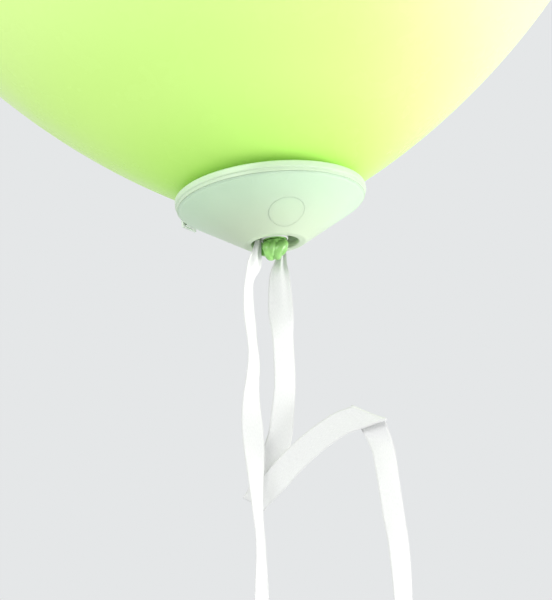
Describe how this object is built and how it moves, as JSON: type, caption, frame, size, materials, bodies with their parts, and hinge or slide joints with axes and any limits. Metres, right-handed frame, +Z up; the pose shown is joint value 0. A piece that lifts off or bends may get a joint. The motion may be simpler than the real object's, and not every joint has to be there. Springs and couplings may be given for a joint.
{
  "type": "latex balloon",
  "caption": "Blown latex party balloon, tied at the neck, with a round frosted light pod threaded on the neck and a flat satin ribbon hanging from the knot.",
  "frame": {"origin": "on the balloon's neck, in the plane of the light pod's lower mouth, where the knot and ribbon hold", "axes": "+Z runs up the neck and the balloon's axis, -Y faces the press pad's side, +X to the right of it"},
  "size_m": [0.308, 0.3078, 0.691],
  "materials": {
    "latex": "glossy stretched latex, slightly see-through",
    "satin": "white satin weave",
    "frosted_shell": "translucent frosted plastic",
    "frosted_dome": "milky diffuser plastic",
    "board": "green solder mask",
    "lamp": "white package with a yellow phosphor face",
    "chip": "black epoxy",
    "screw_steel": "zinc plated",
    "stem_red": "moulded",
    "cell_steel": "nickel plated can",
    "white_plastic": "moulded",
    "clip_steel": "bright spring steel",
    "contact_brass": "plated",
    "clear_film": "clear film"
  },
  "bodies": {
    "balloon": {"balloon_body": "latex", "balloon_neck": "latex", "neck_knot": "latex", "neck_tail": "latex", "lip_bead": "latex", "ribbon_loop": "satin", "ribbon_left": "satin", "ribbon_right_upper": "satin", "ribbon_right_arch": "satin", "ribbon_right_lower": "satin"},
    "pod": {"top_cover": "frosted_shell", "dome_cover": "frosted_dome", "circuit_board": "board", "lamps": "lamp", "flasher_chip": "chip", "board_screws": "screw_steel", "switch_body": "chip", "coin_cell": "cell_steel", "cell_ring": "white_plastic", "cell_clip": "clip_steel", "cell_contact": "contact_brass"},
    "pad": {"press_pad": "frosted_dome"},
    "stem": {"switch_stem": "stem_red"},
    "tab": {"pull_tab": "clear_film"}
  },
  "joints": [
    {"name": "pod_turn", "type": "hinge", "parent": "balloon", "child": "pod", "pos_m": [0, 0, 0], "axis": [0, 0, 1], "continuous": true},
    {"name": "pad_press", "type": "slide", "parent": "pod", "child": "pad", "axis": [-0.1501, 0.5235, 0.8387], "range_m": [0, 0.0005], "stiffness_N_per_m": 2000},
    {"name": "stem_press", "type": "slide", "parent": "pod", "child": "stem", "axis": [0, 0, 1], "range_m": [0, 0.00042]},
    {"name": "tab_pull", "type": "slide", "parent": "pod", "child": "tab", "axis": [-0.866, 0.5, 0], "range_m": [0, 0.02]}
  ],
  "couplings": [
    {"joint": "stem_press", "follows": "pad_press", "ratio": 0.8387}
  ]
}
